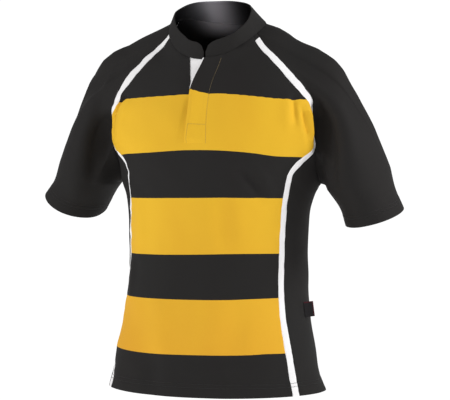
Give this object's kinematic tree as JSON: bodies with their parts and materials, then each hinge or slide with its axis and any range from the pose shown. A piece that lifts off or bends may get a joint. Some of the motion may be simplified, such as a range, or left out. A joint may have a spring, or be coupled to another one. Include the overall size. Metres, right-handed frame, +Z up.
{
  "type": "rugby shirt",
  "caption": "Short-sleeved hooped rugby shirt with raglan sleeves, stand collar and a half placket, filled out as if worn, with no wearer inside.",
  "frame": {"origin": "midway between the two shoulders beside the collar, level with the higher shoulder point of the collar seam, where a wearer's neck and shoulders carry the shirt", "axes": "+Z up, -Y the chest, +X the wearer's left"},
  "size_m": [0.745, 0.2636, 0.7678],
  "materials": {
    "hooped_cloth": "matte knit, hooped gold and black",
    "black_cloth": "matte knit",
    "white_cloth": "matte knit",
    "woven_label": "close weave"
  },
  "bodies": {
    "root": {"front": "hooped_cloth", "back": "hooped_cloth", "placket_flap": "hooped_cloth", "collar": "black_cloth", "side_panel_left": "black_cloth", "side_panel_right": "black_cloth", "sleeve_left": "black_cloth", "sleeve_right": "black_cloth", "placket_facing": "white_cloth", "tape_front_left": "white_cloth", "tape_front_right": "white_cloth", "tape_back_left": "white_cloth", "tape_back_right": "white_cloth", "side_label": "woven_label"}
  },
  "joints": []
}
